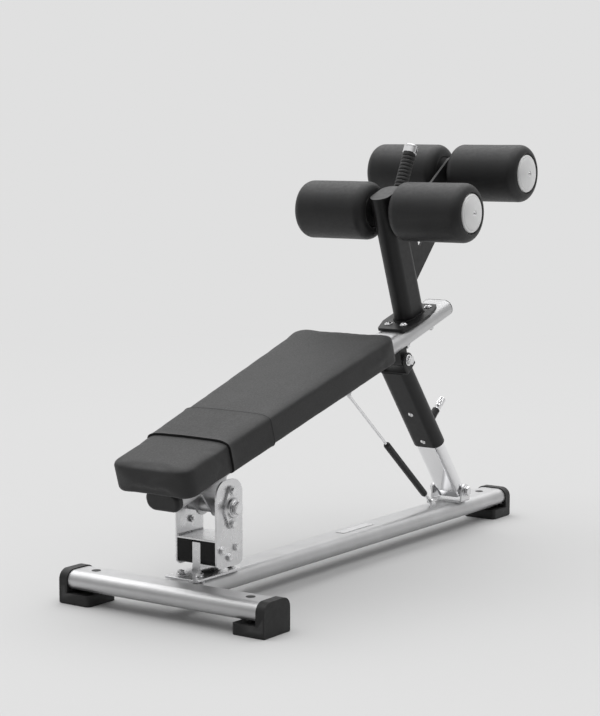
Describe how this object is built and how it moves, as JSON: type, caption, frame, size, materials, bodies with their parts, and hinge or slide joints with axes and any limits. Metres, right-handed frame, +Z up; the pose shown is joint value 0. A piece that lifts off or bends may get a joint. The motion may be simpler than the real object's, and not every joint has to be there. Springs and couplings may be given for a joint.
{
  "type": "decline sit-up bench",
  "caption": "Decline sit-up bench with a tapered pad, foam leg rollers on a post, a tilting seat frame on a rubber-mounted pivot, and a telescopic pin-locked leg with a gas spring.",
  "frame": {"origin": "centre of the overall bounding box on the floor plane", "axes": "+Z up, +Y along the bench from the low end of the seat to the leg rollers, +X to the right of someone looking along +Y"},
  "size_m": [0.648, 1.7169, 1.1617],
  "materials": {
    "satin_steel": "satin silver powder coat with a fine brushed sheen",
    "zinc_plate": "bright zinc plate, lightly brushed",
    "zinc_fastener": "bright zinc-plated fasteners",
    "plate_aluminium": "plain satin plate, no marking",
    "chrome": "polished chrome",
    "black_paint": "satin black powder coat with a fine texture",
    "foot_rubber": "moulded matt rubber",
    "mount_rubber": "moulded matt rubber",
    "grip_rubber": "ribbed matt rubber",
    "black_plastic": "fine-textured moulded plastic",
    "pad_vinyl": "matt grained vinyl over foam",
    "sleeve_vinyl": "matt grained vinyl wrap with hemmed edges",
    "roller_foam": "smooth skinned foam with a soft sheen",
    "disc_aluminium": "satin domed disc"
  },
  "bodies": {
    "base": {"front_cross_tube": "satin_steel", "base_spine": "satin_steel", "foot_cap_left": "foot_rubber", "foot_cap_right": "foot_rubber", "foot_cap_rear": "foot_rubber", "hole_plug_left": "black_plastic", "hole_plug_right": "black_plastic", "hole_plug_rear": "black_plastic", "name_plate": "plate_aluminium", "pivot_pedestal": "zinc_plate", "pedestal_bolt_1": "zinc_fastener", "pedestal_bolt_2": "zinc_fastener", "pedestal_bolt_3": "zinc_fastener", "pedestal_bolt_4": "zinc_fastener", "rubber_mount_left": "mount_rubber", "rubber_mount_right": "mount_rubber", "pivot_cradle": "zinc_plate", "cradle_bolt_1": "zinc_fastener", "cradle_bolt_2": "zinc_fastener", "cradle_bolt_3": "zinc_fastener", "bearing_housing_left": "zinc_plate", "bearing_housing_right": "zinc_plate", "bearing_bolt_left_lower": "zinc_fastener", "bearing_bolt_left_upper": "zinc_fastener", "bearing_bolt_right_lower": "zinc_fastener", "bearing_bolt_right_upper": "zinc_fastener", "leg_foot_bracket": "zinc_plate", "leg_foot_bolt": "zinc_fastener"},
    "seat": {"seat_frame": "satin_steel", "pivot_bolt": "zinc_fastener", "frame_front_cap": "black_plastic", "frame_rear_cap": "black_plastic", "bench_pad": "pad_vinyl", "pad_sleeve": "sleeve_vinyl", "roller_post": "black_paint", "post_bolt_1": "zinc_fastener", "post_bolt_2": "zinc_fastener", "post_bolt_3": "zinc_fastener", "post_bolt_4": "zinc_fastener", "rear_roller_gusset": "black_paint", "front_roller_axle": "zinc_fastener", "rear_roller_axle": "zinc_fastener", "handle_grip": "grip_rubber", "handle_end_cap": "chrome"},
    "front_left_roller": {"front_left_foam": "roller_foam", "front_left_end_cap": "disc_aluminium"},
    "front_right_roller": {"front_right_foam": "roller_foam", "front_right_end_cap": "disc_aluminium"},
    "rear_left_roller": {"rear_left_foam": "roller_foam", "rear_left_end_cap": "disc_aluminium"},
    "rear_right_roller": {"rear_right_foam": "roller_foam", "rear_right_end_cap": "disc_aluminium"},
    "leg_inner": {"leg_inner_tube": "chrome"},
    "leg_outer": {"leg_outer_tube": "black_paint", "leg_top_bolt": "zinc_fastener", "leg_guide_bush": "black_plastic"},
    "locking_pin": {"pop_pin": "chrome"},
    "gas_body": {"gas_cylinder": "black_paint"},
    "gas_stem": {"gas_rod": "chrome"}
  },
  "joints": [
    {"name": "seat_tilt", "type": "hinge", "parent": "base", "child": "seat", "pos_m": [0, -0.60355, 0.257], "axis": [1, 0, 0], "range_deg": [-6, 3]},
    {"name": "leg_swing", "type": "hinge", "parent": "base", "child": "leg_inner", "pos_m": [0, 0.58345, 0.118], "axis": [1, 0, 0], "range_deg": [-1.95, 3.85]},
    {"name": "leg_slide", "type": "slide", "parent": "leg_inner", "child": "leg_outer", "axis": [0, -0.6143, 0.7891], "range_m": [-0.0875, 0.0438]},
    {"name": "pin_pull", "type": "slide", "parent": "leg_outer", "child": "locking_pin", "axis": [0, 0.7891, 0.6143], "range_m": [-0.008, 0.002]},
    {"name": "gas_swing", "type": "hinge", "parent": "base", "child": "gas_body", "pos_m": [0, 0.46645, 0.098], "axis": [1, 0, 0], "range_deg": [-1.9, 3.75]},
    {"name": "gas_slide", "type": "slide", "parent": "gas_body", "child": "gas_stem", "axis": [0, -0.7668, 0.6418], "range_m": [-0.058, 0.029]},
    {"name": "front_left_roller_spin", "type": "hinge", "parent": "seat", "child": "front_left_roller", "pos_m": [0, 0.22375, 0.97101], "axis": [1, 0, 0], "continuous": true},
    {"name": "front_right_roller_spin", "type": "hinge", "parent": "seat", "child": "front_right_roller", "pos_m": [0, 0.22375, 0.97101], "axis": [1, 0, 0], "continuous": true},
    {"name": "rear_left_roller_spin", "type": "hinge", "parent": "seat", "child": "rear_left_roller", "pos_m": [0, 0.57207, 1.07318], "axis": [1, 0, 0], "continuous": true},
    {"name": "rear_right_roller_spin", "type": "hinge", "parent": "seat", "child": "rear_right_roller", "pos_m": [0, 0.57207, 1.07318], "axis": [1, 0, 0], "continuous": true}
  ],
  "couplings": [
    {"joint": "leg_swing", "follows": "seat_tilt", "ratio": -0.63319},
    {"joint": "leg_slide", "follows": "seat_tilt", "m_per_rad": 0.83173},
    {"joint": "gas_swing", "follows": "seat_tilt", "ratio": -0.614},
    {"joint": "gas_slide", "follows": "seat_tilt", "m_per_rad": 0.54862}
  ]
}
